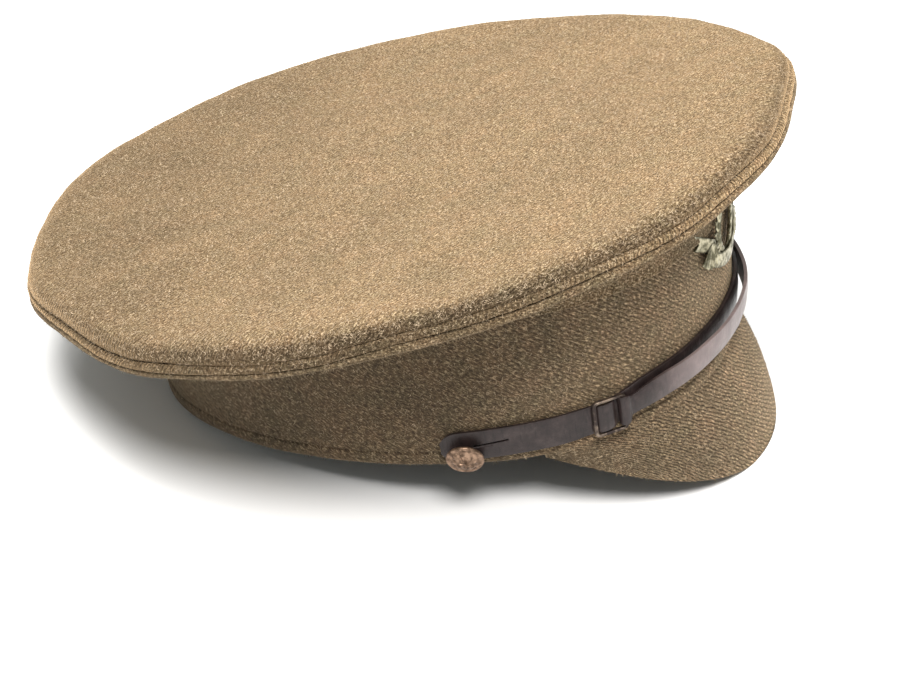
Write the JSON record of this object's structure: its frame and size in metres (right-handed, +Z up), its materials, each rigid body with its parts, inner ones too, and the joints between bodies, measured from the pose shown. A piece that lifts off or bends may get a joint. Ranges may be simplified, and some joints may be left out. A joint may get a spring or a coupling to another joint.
{
  "type": "peaked service cap",
  "caption": "Soft military service cap of khaki wool with a wide crown, cloth-covered peak, doubled leather strap with slides and buttons, and a pierced metal wreath badge.",
  "frame": {"origin": "middle of the outline, on the surface that the cap stands on", "axes": "+X to the front of the cap, over the peak; +Y to the wearer's left; +Z up"},
  "size_m": [0.2808, 0.2648, 0.1318],
  "materials": {
    "top_cloth": "napped wool serge",
    "rim_cloth": "napped wool serge",
    "quarter_cloth": "napped wool serge",
    "band_cloth": "napped wool serge",
    "peak_cloth": "napped wool serge",
    "strap_leather": "worn satin",
    "slide_metal": "browned",
    "button_metal": "dull bronze",
    "badge_metal": "pale tarnished"
  },
  "bodies": {
    "root": {"crown_top": "top_cloth", "crown_welt": "rim_cloth", "quarter_front_left": "quarter_cloth", "quarter_back_left": "quarter_cloth", "quarter_back_right": "quarter_cloth", "quarter_front_right": "quarter_cloth", "band": "band_cloth", "peak": "peak_cloth", "strap_inner": "strap_leather", "strap_outer": "strap_leather", "slide_right": "slide_metal", "slide_left": "slide_metal", "button_right": "button_metal", "button_left": "button_metal", "badge": "badge_metal"}
  },
  "joints": []
}
